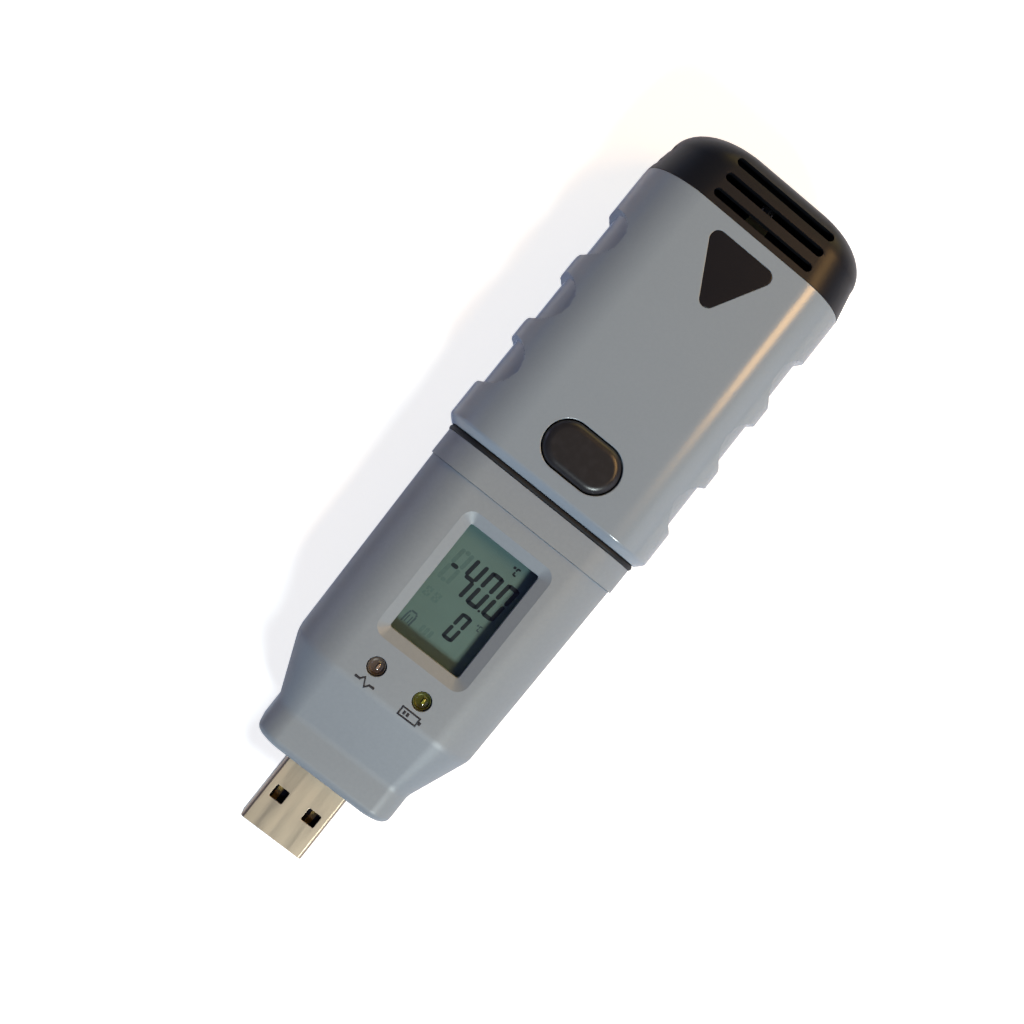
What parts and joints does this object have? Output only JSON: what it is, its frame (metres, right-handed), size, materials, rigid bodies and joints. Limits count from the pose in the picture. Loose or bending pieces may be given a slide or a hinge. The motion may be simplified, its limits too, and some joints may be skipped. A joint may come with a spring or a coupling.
{
  "type": "temperature data logger",
  "caption": "Pocket temperature data logger: sliding grip casing with vent cap and push button, lower body with display, lamps and a USB plug.",
  "frame": {"origin": "under the middle of the whole length and width, on the plane that the casing's back lies on", "axes": "+X to the right of the display, +Y from the plug to the vent cap, +Z out of the front face"},
  "size_m": [0.0396, 0.132, 0.0247],
  "materials": {
    "casing_plastic": "satin blue-grey moulded plastic",
    "body_plastic": "fine-textured grey moulded plastic",
    "black_plastic": "satin black moulded plastic",
    "black_rubber": "soft charcoal rubber",
    "clear_window": "clear moulded window",
    "display": "grey-green segment display",
    "white_plastic": "white moulded plastic",
    "pink_rubber": "layered connector rubber",
    "clear_lamp": "clear lamp resin over a dark cup",
    "green_lamp": "olive green lamp resin",
    "plug_steel": "plated sheet steel",
    "bright_steel": "bright plated steel",
    "gold_contact": "gold-plated spring strip",
    "circuit_board": "green lacquered laminate",
    "cell_sleeve": "plain green shrink sleeve",
    "chip_plastic": "black moulded package",
    "capacitor_can": "aluminium can",
    "sensor_resin": "black epoxy bead"
  },
  "bodies": {
    "casing": {"casing_shell": "casing_plastic", "vent_cap": "black_plastic", "arrow_inlay": "black_plastic", "button_flange": "black_rubber", "button_retainer": "black_plastic"},
    "button": {"button_cap": "black_rubber"},
    "logger": {"front_shell": "body_plastic", "rear_shell": "body_plastic", "chassis": "body_plastic", "seal_ring": "black_rubber", "display_lens": "clear_window", "display_glass": "display", "display_holder": "white_plastic", "display_connectors": "pink_rubber", "status_lamp": "clear_lamp", "battery_lamp": "green_lamp", "plug_shell": "plug_steel", "plug_tongue": "black_plastic", "plug_contacts": "gold_contact", "main_board": "circuit_board", "cell": "cell_sleeve", "cell_contact_plus": "bright_steel", "cell_contact_minus": "bright_steel", "microcontroller": "chip_plastic", "memory_chip": "chip_plastic", "voltage_regulator": "chip_plastic", "crystal": "bright_steel", "capacitors": "capacitor_can", "switch_body": "chip_plastic", "temperature_sensor": "sensor_resin", "shell_screws": "bright_steel", "board_screws": "bright_steel"},
    "switch": {"switch_actuator": "white_plastic"}
  },
  "joints": [
    {"name": "button_press", "type": "slide", "parent": "casing", "child": "button", "axis": [0, 0, -1], "range_m": [0, 0.0005], "stiffness_N_per_m": 3000, "springref_m": -0.0002},
    {"name": "chassis_slide", "type": "slide", "parent": "casing", "child": "logger", "axis": [0, -1, 0], "range_m": [0, 0.062]},
    {"name": "switch_press", "type": "slide", "parent": "logger", "child": "switch", "axis": [0, 0, -1], "range_m": [0, 0.0005]}
  ],
  "couplings": [
    {"joint": "switch_press", "follows": "button_press", "ratio": 1}
  ]
}
